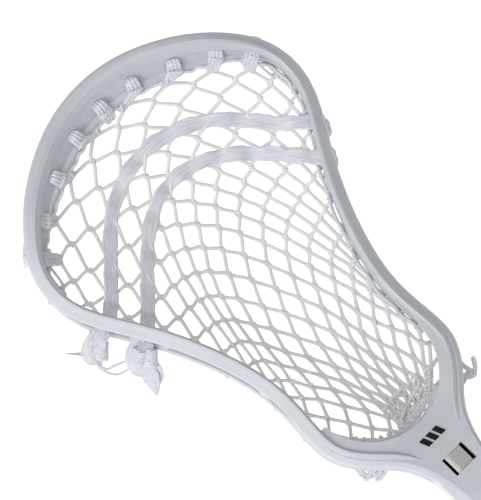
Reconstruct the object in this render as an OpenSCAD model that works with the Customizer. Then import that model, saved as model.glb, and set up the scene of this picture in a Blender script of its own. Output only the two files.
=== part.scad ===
// Field lacrosse stick: moulded head with a strung mesh pocket on a hollow eight-sided alloy shaft.
// Origin at the centre of the butt face, +X along the shaft to the scoop, +Z out of the face of the head.

/* [Head] */
// Length from the ball stop to the tip of the scoop
head_length = 254; // [246:1:264]
// Widest outside width of the head
head_width = 185; // [168:1:190]
// Width of the moulded front rail
rail_width = 8; // [7:0.5:9]
// Depth of the sidewall from the front rail to the back rail
sidewall_depth = 38; // [34:1:42]
// Number of lacing holes across the scoop
scoop_holes = 9; // [7:2:11]

/* [Stringing] */
// Depth of the mesh pocket below the back rail, at the middle
pocket_depth = 32; // [24:1:40]
// Thickness of the woven mesh
mesh_thickness = 2; // [1.5:0.5:3]
// Width of a shooting lace
lace_width = 8.5; // [6:0.5:10]
// Thickness of a shooting lace
lace_thickness = 1.6; // [1.2:0.2:2]
// Diameter of the nylon strings
string_d = 2.4; // [2:0.2:3]

/* [Shaft] */
// Length of the shaft
shaft_length = 762; // [700:1:1000]
// Width of the shaft across its side flats
shaft_width = 25.4; // [24.6:0.2:25.8]
// Height of the shaft across its front and back flats
shaft_height = 28; // [27:0.2:28.6]
// Wall of the shaft
shaft_wall = 1.6; // [1.2:0.1:2.4]
// Outside length of the rubber end cap
cap_length = 32; // [24:1:45]

/* [Throat] */
// Length of the socket that takes the shaft
socket_length = 62; // [54:1:70]
// Length of the window in the front of the throat
window_length = 11; // [8:0.5:13]
// Diameter of the shank of the locking screw
screw_d = 4; // [3.5:0.5:4.5]

/* [Hidden] */

cap_floor = 4;                                  // rubber beyond the end of the shaft
head_x = shaft_length + cap_floor + 14;         // where the ball stop face lies
fit = 0.35;                                     // slip fit of the socket round the shaft
ends = 26;                                      // segments of the head outline
steps = 4;                                      // rings in a segment

// Half of the outside outline of the front rail: x from the ball stop, half width, height above the shaft axis
half_outline = [[256, 0, 19], [251, 30, 20], [234, 61, 21], [214, 81, 20], [195, 93, 16], [165, 93, 11],
    [127, 65, 11], [74, 45, 10.5], [45, 46, 10], [20, 49, 11], [2, 36, 13], [-10, 22, 14.8], [-27, 15.4, 15], [-43, 13.6, 12.6], [-60, 12, 7], [-76, 12, 4]];

// Depth of the back rail below the front rail along the head
depth_along = [[-80, 19], [-60, 20], [-44, 26], [-28, 29.5], [-10, 33], [30, 37], [60, 38], [120, 38], [150, 36.5], [175, 31.5], [200, 25], [220, 21], [240, 19], [260, 19]];

function step01(v) = let(c = max(0, min(1, v))) c * c * (3 - 2 * c);
function scaled(p) = [p[0] > 0 ? p[0] * head_length / 254 : p[0],
    p[1] * (1 + (head_width / 185 - 1) * step01((p[0] - 20) / 120)), p[2]];
half = [for (p = half_outline) scaled(p)];
outline = concat([for (i = [len(half) - 1:-1:1]) [half[i][0], -half[i][1], half[i][2]]], half);
rings = (len(outline) - 3) * steps;

// Uniform cubic B-spline through the outline's control points, and its slope
function spline(p, t) = let(i = min(floor(t), len(p) - 4), u = t - i, a = 1 - u)
    (a * a * a * p[i] + (3 * u * u * u - 6 * u * u + 4) * p[i + 1] + (-3 * u * u * u + 3 * u * u + 3 * u + 1) * p[i + 2] + u * u * u * p[i + 3]) / 6;
function slope(p, t) = let(i = min(floor(t), len(p) - 4), u = t - i, a = 1 - u)
    (-a * a * p[i] + (3 * u * u - 4 * u) * p[i + 1] + (-3 * u * u + 2 * u + 1) * p[i + 2] + u * u * p[i + 3]) / 2;
function unit(v) = v / norm(v);
function at(t) = spline(outline, t);
function inward(t) = let(d = slope(outline, t)) unit([-d[1], d[0]]);

// How much of the scoop's section shows at a place along the head, the inset of the back rail and its depth
function scoop_share(x) = step01((x - 185) / 75);
function inset_at(x) = 0.2 + 16.2 * scoop_share(x);
function depth_at(x) = lookup(x, depth_along) * (1 + (sidewall_depth / 38 - 1) * (1 - scoop_share(x)));

// Section point: u inward from the outside of the front rail, v up from its top
function place(t, u, v) = let(c = at(t), n = inward(t)) [c[0] + u * n[0], c[1] + u * n[1], c[2] + v];
function mix(a, b, k) = a * (1 - k) + b * k;

rail_side = [[0, -6.2], [0.7, -4.4], [3, -2.1], [5.2, -0.4], [6.3, 0], [7.4, -0.9], [8, -3.6], [7.6, -7.4], [6.2, -9], [4, -9.6], [1.8, -9.4], [0.3, -8.2]];
rail_scoop = [[0, -3.6], [0.7, -1.3], [2.4, -0.1], [5, 0], [7.6, -0.9], [10, -3.2], [11.8, -6], [11.4, -8.4], [9, -8.6], [6, -7.6], [3, -7], [0.9, -5.8]];
function front_section(t) = let(x = at(t)[0], k = scoop_share(x), w = rail_width / 8)
    [for (j = [len(rail_side) - 1:-1:0]) [mix(rail_side[j][0] * w, rail_scoop[j][0], k), mix(rail_side[j][1], rail_scoop[j][1], k)]];
back_round = [[2.5, -1.7], [2.5, 1.6], [1.2, 3.6], [-1.4, 3.6], [-2.5, 1.6], [-2.5, -1.7], [-1.2, -3.6], [1.2, -3.6]];
function back_section(t) = let(x = at(t)[0]) [for (q = back_round) [inset_at(x) + 2.7 + q[0], -depth_at(x) + 3.8 + q[1]]];
function wall_section(t, thick, rise = 1) = let(x = at(t)[0], k = scoop_share(x), i = inset_at(x), d = depth_at(x), b = i + 2.7, top = mix(b, mix(4, 9.5, k), rise), v = mix(9 - d, -6, rise))
    [[top - thick / 2, v], [b - thick / 2, -d + 4], [b + thick / 2, -d + 3.4], [top + thick / 2, v + 0.6]];

// A closed skin over a run of rings that all hold the same number of points
module skin(r) {
    m = len(r[0]);
    n = len(r);
    polyhedron(points = [for (ring = r) for (p = ring) p],
        faces = concat([[for (j = [0:m - 1]) j]], [[for (j = [m - 1:-1:0]) (n - 1) * m + j]],
            [for (i = [0:n - 2]) for (j = [0:m - 1]) [i * m + j, (i + 1) * m + j, (i + 1) * m + (j + 1) % m]],
            [for (i = [0:n - 2]) for (j = [0:m - 1]) [i * m + j, (i + 1) * m + (j + 1) % m, i * m + (j + 1) % m]]));
}
function ring_of(t, sec) = [for (q = sec) place(t, q[0], q[1])];

// A round or flat cord along a row of points: w wide across its side direction, h thick
function frame_at(p, k) = let(a = p[max(0, k - 1)], b = p[min(len(p) - 1, k + 1)]) unit(b - a);
module cord(p, w, h, sides = 8, up = [0, 0, 1]) {
    skin([for (k = [0:len(p) - 1]) let(d = frame_at(p, k), s = unit(cross(up, d)), n = cross(d, s))
        [for (a = [0:360 / sides:359]) p[k] + s * (w / 2 * cos(a)) + n * (h / 2 * sin(a))]]);
}
// The same with a box section, for a flat woven lace
module tape(p, w, h, up = [0, 0, 1]) {
    skin([for (k = [0:len(p) - 1]) let(d = frame_at(p, k), s = unit(cross(up, d)), n = cross(d, s))
        [for (c = [[-1, -0.6], [-0.8, -1], [0.8, -1], [1, -0.6], [1, 0.6], [0.8, 1], [-0.8, 1], [-1, 0.6]]) p[k] + s * (w / 2 * c[0]) + n * (h / 2 * c[1])]]);
}

// Height of the pocket: a rim that follows the back rail and a bag below it
rim_along = [[-10, -14], [10, -20], [30, -24], [60, -25.5], [120, -25], [150, -22.5], [175, -17], [200, -8], [220, -2], [240, 1], [260, 2]];
bag_along = [[-10, 0], [4, 0.1], [20, 0.5], [40, 0.85], [70, 1], [110, 0.95], [140, 0.72], [170, 0.4], [200, 0.16], [230, 0.02], [260, 0]];
// Inside edge of the back rail, as half widths against -x, closed by the ball stop's arc
mid = (len(outline) - 3) / 2;
stop_r = 35.4;                                  // radius of the foam's face, a little over the ball's
stop_x = 37;
edge = [for (k = [0:round(mid * 3)]) let(t = mid + k / 3, p = place(t, inset_at(at(t)[0]) + 6.2, 0)) if (p[0] > -2) [-p[0], p[1]]];
tip_x = -edge[0][0];
function half_at(x) = min(lookup(-x, edge), x < stop_x ? sqrt(max(1, pow(stop_r - 0.5, 2) - pow(stop_x - x, 2))) : 1000);
function pocket_z(x, y) = let(s = min(1, abs(y) / half_at(x)))
    lookup(x, rim_along) - pocket_depth * lookup(x, bag_along) * (1 - pow(s, 2.6));

// Side view of the throat: the front face falls from the socket to the rails
module throat_plan() {
    polygon([for (k = [0:2 * ends + 1]) let(p = place((k + 0.37) / 2 * (len(outline) - 3) / (ends + 1), 2.9, 0)) if (p[0] < 45) [p[0], p[1]]]);
}
module throat_slab(top, thick) {
    translate([0, 60, 0]) rotate([90, 0, 0]) linear_extrude(120)
        polygon([[50, top[0]], [0, top[1]], [-24, top[2]], [-80, top[2]], [-80, top[2] - thick], [-24, top[2] - thick], [0, top[1] - thick], [50, top[0] - thick]]);
}
// Eight-sided section of the shaft
module shaft_section(w, h, c) {
    polygon([[w / 2, h / 2 - c], [w / 2 - c, h / 2], [c - w / 2, h / 2], [-w / 2, h / 2 - c], [-w / 2, c - h / 2], [c - w / 2, -h / 2], [w / 2 - c, -h / 2], [w / 2, c - h / 2]]);
}
module along_x(x0, x1) {
    translate([x0, 0, 0]) rotate([90, 0, 90]) linear_extrude(x1 - x0) children();
}
// Flattened strut between the two rails, leaning along the head
module strut(t0, t1) {
    a = place(t0, 4.2, -6);
    b = place(t1, inset_at(at(t1)[0]) + 2.6, 4.6 - depth_at(at(t1)[0]));
    n = inward(t0);
    e = unit(cross([n[0], n[1], 0], unit(b - a)));
    skin([for (f = [0, 0.12, 0.88, 1]) [for (c = [315:-45:0]) mix(a, b, f) + [n[0], n[1], 0] * (1.75 * cos(c + 22.5)) + e * ((f == 0 || f == 1 ? 4.3 : 2.9) * sin(c + 22.5))]]);
}
strut_at = [3.95, 4.7, 5.45, 6.2, 6.95];

// Moulded head: front rail, back rail, scoop wall, struts, throat and socket in one piece
module head_frame() {
    color("whitesmoke") translate([head_x, 0, 0]) resize([0, 0, 0]) difference() {
        union() {
            skin([for (k = [0:rings]) ring_of(k / steps, front_section(k / steps))]);
            skin([for (k = [0:rings]) ring_of(k / steps, back_section(k / steps))]);
            skin([for (k = [-12.5:12.5]) ring_of(mid + k / 3, wall_section(mid + k / 3, 3.2))]);
            for (m = [-1, 1]) skin([for (k = [m > 0 ? 0 : 15:m:m > 0 ? 15 : 0]) let(t = mid + m * (7.63 + k * 0.31)) ring_of(t, wall_section(t, 3.4, step01(0.12 + k / 5)))]);
            for (s = strut_at) for (m = [-1, 1]) strut(mid + m * s, mid + m * (s + (floor(s * 5) % 2 == 0 ? 0.35 : -0.25)));
            // front plate of the throat
            difference() {
                intersection() {
                    linear_extrude(height = 60, center = true) throat_plan();
                    throat_slab([6.4, 12, 16.6], 3.6);
                }
                translate([0, 0, -40]) linear_extrude(80) union() {
                    translate([stop_x, 0]) circle(r = stop_r + 1.3, $fn = 72);
                    polygon([[stop_x - 6, -35.6], [64, -45.6], [64, 45.6], [stop_x - 6, 35.6]]);
                }
            }
            // wall behind the ball stop
            translate([-5.3, -23.5, -19.3]) cube([3.2, 47, 30.9]);
            // socket
            intersection() {
                along_x(-14 - socket_length, -3.4) shaft_section(shaft_width + 2 * fit + 5, shaft_height + 2 * fit + 4.6, 9);
                translate([0, 60, 0]) rotate([90, 0, 0]) linear_extrude(120)
                    polygon([[10, -40], [10, 9.6], [-23.4, 16.1], [-23.4, 30], [-90, 30], [-90, -40]]);
            }
            along_x(-16 - socket_length, -9 - socket_length) shaft_section(shaft_width + 2 * fit + 7.5, shaft_height + 2 * fit + 7, 10);
        }
        along_x(-40 - socket_length, -13.6) shaft_section(shaft_width + 2 * fit, shaft_height + 2 * fit, 7.5);
        // window over the front flat of the shaft
        translate([-22 - window_length, -7.2, 5]) cube([window_length, 14.4, 20]);
        // lacing holes across the scoop
        for (k = [0:scoop_holes - 1]) let(t = mid + (k - (scoop_holes - 1) / 2) * 6.8 / (scoop_holes - 1), x = at(t)[0], i = inset_at(x), d = depth_at(x))
            translate(place(t, i - 2.6, -d / 2 + 0.6)) rotate([0, 0, atan2(inward(t)[1], inward(t)[0])]) rotate([0, 50, 0]) scale([1, 1.5, 1]) cylinder(d = 4.6, h = 12, center = true, $fn = 16);
        // lacing holes through the back rail
        for (m = [-1, 1]) for (s = [3.2, 4.3, 5.1, 5.9, 6.7, 7.5, 8.3]) let(t = mid + m * s, x = at(t)[0], i = inset_at(x), d = depth_at(x))
            translate(place(t, i + 2.7, -d + 3.8)) rotate([0, 0, atan2(inward(t)[1], inward(t)[0])]) rotate([0, 90, 0]) rotate([0, 0, 13]) cylinder(d = 2.6, h = 12, center = true, $fn = 10);
        // screw hole in the back of the socket
        translate([-52, 0, -30]) cylinder(d = screw_d + 0.4, h = 20, $fn = 32);
        translate([-52, 0, -26 - shaft_height / 2 + 9.6]) cylinder(d = 8.4, h = 2.6, $fn = 40);
    }
}

// Foam pad glued to the wall at the throat
module ball_stop() {
    color("lightgray") translate([head_x, 0, 0]) difference() {
        translate([-2.1, -23, -15]) cube([13, 46, 23]);
        translate([stop_x, 0, -30]) cylinder(r = stop_r, h = 60, $fn = 72);
        for (m = [-1, 1]) translate([-2.1, m * 23, 0]) rotate([0, 0, m * 37]) translate([-20, m > 0 ? -2 : -18, -30]) cube([60, 20, 60]);
    }
}

// Woven mesh bag, as one thin bowl
rows = 22;
cols = 14;
function pocket_at(v, u, off) = let(x = mix(2.6, tip_x - 0.3, v), y = u * half_at(x)) [x, y, pocket_z(x, y) + off];
module mesh_pocket() {
    m = cols + 1;
    n = rows + 1;
    g = [for (o = [0, -mesh_thickness]) for (i = [0:rows]) for (j = [0:cols]) pocket_at(i / rows, sin(90 * (2 * j / cols - 1)), o)];
    rim = concat([for (j = [0:cols]) j], [for (i = [1:rows]) i * m + cols], [for (j = [cols - 1:-1:0]) rows * m + j], [for (i = [rows - 1:-1:1]) i * m]);
    q = len(rim);
    color("ivory") translate([head_x, 0, 0]) polyhedron(points = g, faces = concat(
        [for (i = [0:rows - 1]) for (j = [0:cols - 1]) [i * m + j, i * m + j + 1, (i + 1) * m + j + 1]],
        [for (i = [0:rows - 1]) for (j = [0:cols - 1]) [i * m + j, (i + 1) * m + j + 1, (i + 1) * m + j]],
        [for (i = [0:rows - 1]) for (j = [0:cols - 1]) [n * m + i * m + j, n * m + (i + 1) * m + j + 1, n * m + i * m + j + 1]],
        [for (i = [0:rows - 1]) for (j = [0:cols - 1]) [n * m + i * m + j, n * m + (i + 1) * m + j, n * m + (i + 1) * m + j + 1]],
        [for (k = [0:q - 1]) [rim[k], n * m + rim[k], n * m + rim[(k + 1) % q]]],
        [for (k = [0:q - 1]) [rim[k], n * m + rim[(k + 1) % q], rim[(k + 1) % q]]]));
}

// Nylon string that laces the mesh to the holes across the scoop
module top_string() {
    gap = 6.8 / (scoop_holes - 1);
    knots = [for (k = [-1:2 * scoop_holes]) let(t = mid + (k / 2 - (scoop_holes - 1) / 2 - 0.25) * gap, i = inset_at(at(t)[0]), d = depth_at(at(t)[0]))
        k % 2 == 0 ? place(t, i + 7.6, 3.4 - d) : place(t, i - 0.4, 4.4 - d * 0.5)];
    color("white") translate([head_x, 0, 0])
        cord([for (k = [0:(len(knots) - 3) * 3]) spline(knots, k / 3)], string_d, string_d, 8);
}

// Nylon string that laces one side of the mesh to the holes in the back rail
module sidewall_string(m) {
    color("white") translate([head_x, 0, 0])
        cord([for (k = [0:36]) let(t = mid + m * (3.15 + k * 5.3 / 36), x = at(t)[0]) place(t, inset_at(x) + 6.6 + 0.4 * cos(k * 90), 3.8 - depth_at(x))], string_d, string_d, 8);
}

// Nylon string that closes the mesh across the throat
module bottom_string() {
    color("white") translate([head_x, 0, 0])
        cord([for (k = [0:16]) let(a = 124 + 7 * k) [stop_x + (stop_r - 2.2) * cos(a), (stop_r - 2.2) * sin(a), -17 - 3.5 * pow(abs(a - 180) / 56, 2)]], string_d, string_d, 8);
}

// Flat woven lace across the mesh and out over the back rail on both sides: x, y, lift over the mesh
upper_route = [[149, 95, 4], [151, 90, 4.5], [153, 84.5, 5.5], [156, 77.5, 4.5], [160.5, 70.5, 1], [168, 63, 0], [182.5, 49.5, 0], [197, 35, 0], [205, 18, 0], [209, -0.5, 0],
    [206, -19, 0], [199, -37, 0], [186, -53, 0], [171, -66, 0], [163, -73, 1], [157, -78.5, 4.5], [151, -82.5, 9], [146, -85, 13]];
lower_route = [[124, 82, 2.5], [127, 78.5, 3.5], [131, 73.5, 5.5], [136, 67.5, 4.5], [142.5, 60.5, 1], [151, 53, 0], [164.5, 39.5, 0], [177, 27, 0], [185, 13.5, 0], [188.5, -0.5, 0],
    [186.5, -15.5, 0], [181, -31, 0], [170, -45, 0], [156.5, -58.5, 0], [146, -64.5, 1], [139, -69, 4.5], [134, -73.5, 9], [130, -77, 13]];
module lace(route) {
    p = [for (k = [0:(len(route) - 3) * 2]) let(q = spline(route, k / 2)) [q[0], q[1], pocket_z(q[0], q[1]) + 0.4 + lace_thickness / 2 + q[2]]];
    color("white") translate([head_x, 0, 0]) tape(p, lace_width, lace_thickness);
}

// Knot with a short end outside the left sidewall, and the stopper knot outside the right one
upper_knot = [[154.5, 84.5, -15.5, 1.2], [154.2, 86, -16.6, 3.4], [153, 89.5, -19.4, 5.2], [151.5, 93, -21.8, 5.2], [151.8, 96.5, -23.6, 3.6], [154, 99.8, -24.6, 2.6], [157.5, 102.3, -25.2, 1.6]];
lower_knot = [[132.5, 73.5, -15.5, 1.2], [131.8, 75, -16.8, 3.4], [129, 78, -19.6, 5.2], [125.6, 80.4, -21.8, 5.2], [121, 82, -23.8, 4.2], [116, 83.4, -25.4, 3.6], [111.5, 84.6, -26.6, 2]];
module knots(run, stop) {
    color("white") translate([head_x, 0, 0]) {
        skin([for (k = [0:len(run) - 1]) let(q = [for (r = run) [r[0], r[1], r[2]]], d = frame_at(q, k), s = unit(cross([0, 0, 1], d)), n = cross(d, s))
            [for (a = [0:30:330]) q[k] + run[k][3] * (s * cos(a) + n * sin(a) * 0.8)]]);
        translate(stop) skin([for (b = [-75:25:75]) [for (a = [0:30:330]) 3.8 * [sin(b), cos(b) * cos(a), cos(b) * sin(a)]]]);
    }
}

// Plain three-bar mark printed on the throat
module throat_badge() {
    color("black") translate([head_x - 9.6, 1.2, 13.87]) rotate([0, 10.85, 0]) for (k = [-1:1])
        translate([0, 4.6 * k, 0]) linear_extrude(0.35) polygon([[-2.7, -2.6], [2.7, -0.6], [2.7, 2.6], [-2.7, 0.6]]);
}

// Pan-head screw that locks the head to the shaft
module head_screw() {
    z = -shaft_height / 2 - fit - 2.3;
    color("silver") translate([head_x - 52, 0, z]) difference() {
        union() {
            translate([0, 0, -1.4]) cylinder(d = 8, h = 2.2, $fn = 48);
            cylinder(d = screw_d, h = 9, $fn = 32);
        }
        for (a = [0, 90]) rotate([0, 0, a]) translate([-2.4, -0.5, -2]) cube([4.8, 1, 1.8]);
    }
}

// Hollow eight-sided alloy shaft
module shaft() {
    color("silver") difference() {
        along_x(cap_floor, cap_floor + shaft_length) shaft_section(shaft_width, shaft_height, 7.5);
        along_x(cap_floor - 1, cap_floor + shaft_length + 1) shaft_section(shaft_width - 2 * shaft_wall, shaft_height - 2 * shaft_wall, 7.5 - shaft_wall * 0.59);
        translate([head_x - 52, 0, -shaft_height]) cylinder(d = screw_d + 0.2, h = shaft_height, $fn = 32);
    }
}

// Rubber cap pushed over the butt of the shaft
module end_cap() {
    color("dimgray") difference() {
        union() {
            along_x(1.2, cap_length) shaft_section(shaft_width + 5, shaft_height + 5, 9);
            along_x(0, 1.3) shaft_section(shaft_width + 3, shaft_height + 3, 8.4);
        }
        along_x(cap_floor, cap_length + 1) shaft_section(shaft_width + 0.4, shaft_height + 0.4, 7.6);
    }
}

head_frame();
ball_stop();
mesh_pocket();
top_string();
sidewall_string(1);  // sidewall_string_left
sidewall_string(-1);  // sidewall_string_right
bottom_string();
lace(upper_route);  // shooting_lace_upper
lace(lower_route);  // shooting_lace_lower
knots(upper_knot, [148.5, -79.5, -7.5]);  // lace_knot_upper
knots(lower_knot, [131.5, -71.3, -9.5]);  // lace_knot_lower
throat_badge();
head_screw();
shaft();
end_cap();
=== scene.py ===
import bpy
import math
import numpy as np
from mathutils import Vector, Matrix


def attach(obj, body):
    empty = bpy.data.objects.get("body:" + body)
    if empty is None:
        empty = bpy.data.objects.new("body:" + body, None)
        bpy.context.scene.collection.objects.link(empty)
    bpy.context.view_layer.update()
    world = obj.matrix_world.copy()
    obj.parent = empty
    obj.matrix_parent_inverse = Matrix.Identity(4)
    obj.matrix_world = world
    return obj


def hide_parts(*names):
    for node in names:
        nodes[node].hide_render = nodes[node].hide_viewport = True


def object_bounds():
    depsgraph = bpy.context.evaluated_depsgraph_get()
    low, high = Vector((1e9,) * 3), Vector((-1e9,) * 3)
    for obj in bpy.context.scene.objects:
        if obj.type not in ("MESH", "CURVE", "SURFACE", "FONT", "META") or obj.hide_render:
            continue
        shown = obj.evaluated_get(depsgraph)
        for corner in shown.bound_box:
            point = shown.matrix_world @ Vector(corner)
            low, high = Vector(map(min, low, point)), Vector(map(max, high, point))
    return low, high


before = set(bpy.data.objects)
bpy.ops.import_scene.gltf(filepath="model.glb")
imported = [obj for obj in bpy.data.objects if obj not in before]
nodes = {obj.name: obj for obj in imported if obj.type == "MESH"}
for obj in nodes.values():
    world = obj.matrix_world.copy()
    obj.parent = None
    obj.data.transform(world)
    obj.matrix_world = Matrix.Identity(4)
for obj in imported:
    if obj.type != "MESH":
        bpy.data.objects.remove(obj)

cad_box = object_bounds()
scene = bpy.context.scene
scene.view_settings.view_transform = "Standard"
scene.view_settings.look = "None"

# ---------------------------------------------------------------- camera
back = Vector((-0.12279, 0.12279, 0.98481))
right = Vector((-0.70711, -0.70711, 0.0))
up = back.cross(right)
aim = Vector((0.900, 0.0, 0.015)) - 0.0087 * right + 0.00525 * up
eye = aim + 1.2 * back
cam_data = bpy.data.cameras.new("camera")
cam_data.sensor_width = 36.0
cam_data.lens = 164.6
cam_data.clip_start = 0.05
cam_data.clip_end = 20.0
cam = bpy.data.objects.new("camera", cam_data)
cam.matrix_world = Matrix(((right.x, up.x, back.x, eye.x), (right.y, up.y, back.y, eye.y),
                           (right.z, up.z, back.z, eye.z), (0, 0, 0, 1)))
scene.collection.objects.link(cam)
scene.camera = cam

# ---------------------------------------------------------------- the head's design, in millimetres from the ball stop
HEAD_X = 780.0
HALF = [(256, 0, 19), (251, 30, 20), (234, 61, 21), (214, 81, 20), (195, 93, 16), (165, 93, 11), (127, 65, 11),
        (74, 45, 10.5), (45, 46, 10), (20, 49, 11), (2, 36, 13), (-10, 22, 14.8), (-27, 15.4, 15), (-43, 13.6, 12.6),
        (-60, 12, 7), (-76, 12, 4)]
OUTLINE = np.array([(x, -y, z) for x, y, z in HALF[:0:-1]] + HALF, float)
MID = (len(OUTLINE) - 3) / 2
DEPTH = [(-80, 19), (-60, 20), (-44, 26), (-28, 29.5), (-10, 33), (30, 37), (60, 38), (120, 38), (150, 36.5),
         (175, 31.5), (200, 25), (220, 21), (240, 19), (260, 19)]
RIM = [(-10, -14), (10, -20), (30, -24), (60, -25.5), (120, -25), (150, -22.5), (175, -17), (200, -8), (220, -2),
       (240, 1), (260, 2)]
BAG = [(-10, 0), (4, 0.1), (20, 0.5), (40, 0.85), (70, 1), (110, 0.95), (140, 0.72), (170, 0.4), (200, 0.16),
       (230, 0.02), (260, 0)]
STOP_R, STOP_X = 35.4, 37.0


def look(x, table):
    return float(np.interp(x, [a for a, _ in table], [b for _, b in table]))


def bspline(p, t):
    i = int(min(math.floor(t), len(p) - 4))
    u = t - i
    a = 1 - u
    return (a**3 * p[i] + (3 * u**3 - 6 * u * u + 4) * p[i + 1]
            + (-3 * u**3 + 3 * u * u + 3 * u + 1) * p[i + 2] + u**3 * p[i + 3]) / 6


def slope(p, t):
    i = int(min(math.floor(t), len(p) - 4))
    u = t - i
    a = 1 - u
    return (-a * a * p[i] + (3 * u * u - 4 * u) * p[i + 1] + (-3 * u * u + 2 * u + 1) * p[i + 2] + u * u * p[i + 3]) / 2


def at(t):
    return bspline(OUTLINE, t)


def inward(t):
    d = slope(OUTLINE, t)
    n = np.array([-d[1], d[0]])
    return n / np.linalg.norm(n)


def share(x):
    c = max(0.0, min(1.0, (x - 185) / 75))
    return c * c * (3 - 2 * c)


def inset(t):
    return 0.2 + 16.2 * share(at(t)[0])


def depth(t):
    return look(at(t)[0], DEPTH)


def place(t, u, v):
    c, n = at(t), inward(t)
    return np.array([c[0] + u * n[0], c[1] + u * n[1], c[2] + v])


EDGE = []
for k in range(int(round(MID * 3)) + 1):
    q = place(MID + k / 3, inset(MID + k / 3) + 6.2, 0)
    if q[0] > -2:
        EDGE.append((-q[0], q[1]))
TIP = -EDGE[0][0]


def half_at(x):
    h = look(-x, EDGE)
    if x < STOP_X:
        h = min(h, math.sqrt(max(1.0, (STOP_R + 4.0) ** 2 - (STOP_X - x) ** 2)))
    return max(h, 0.5)


def pocket_z(x, y):
    s = min(1.0, abs(y) / half_at(x))
    return look(x, RIM) - 32 * look(x, BAG) * (1 - s**2.6)


def pocket_normal(x, y):
    dx = (pocket_z(x + 2, y) - pocket_z(x - 2, y)) / 4
    dy = (pocket_z(x, y + 2) - pocket_z(x, y - 2)) / 4
    n = np.array([-dx, -dy, 1.0])
    return n / np.linalg.norm(n)


# ---------------------------------------------------------------- mesh building
def unit(a):
    return a / np.maximum(np.linalg.norm(a, axis=-1, keepdims=True), 1e-12)


def smooth_path(points, per=6, closed=False):
    """A Catmull-Rom curve through the points."""
    p = np.array(points, float)
    n = len(p)
    out = []
    spans = n if closed else n - 1
    for i in range(spans):
        if closed:
            a, b, c, d = p[(i - 1) % n], p[i], p[(i + 1) % n], p[(i + 2) % n]
        else:
            b, c = p[i], p[i + 1]
            a = p[i - 1] if i > 0 else 2 * b - c
            d = p[i + 2] if i + 2 < n else 2 * c - b
        for k in range(per):
            t = k / per
            out.append(0.5 * (2 * b + (c - a) * t + (2 * a - 5 * b + 4 * c - d) * t * t + (3 * b - a - 3 * c + d) * t**3))
    if not closed:
        out.append(p[-1])
    return np.array(out)


def natural(xs, ys, xq):
    """Natural cubic spline through (xs, ys), at xq."""
    xs, ys = np.array(xs, float), np.array(ys, float)
    n = len(xs)
    h = np.diff(xs)
    a = np.zeros((n, n))
    r = np.zeros(n)
    a[0, 0] = a[-1, -1] = 1
    for i in range(1, n - 1):
        a[i, i - 1:i + 2] = h[i - 1], 2 * (h[i - 1] + h[i]), h[i]
        r[i] = 6 * ((ys[i + 1] - ys[i]) / h[i] - (ys[i] - ys[i - 1]) / h[i - 1])
    m = np.linalg.solve(a, r)
    xq = np.array(xq, float)
    i = np.clip(np.searchsorted(xs, xq) - 1, 0, n - 2)
    d0, d1 = xq - xs[i], xs[i + 1] - xq
    return (m[i] * d1**3 + m[i + 1] * d0**3) / (6 * h[i]) + (ys[i] / h[i] - m[i] * h[i] / 6) * d1 \
        + (ys[i + 1] / h[i] - m[i + 1] * h[i] / 6) * d0


def round_section(w, h, sides):
    a = np.arange(sides) * 2 * math.pi / sides
    return np.stack([w / 2 * np.cos(a), h / 2 * np.sin(a)], 1)


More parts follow.
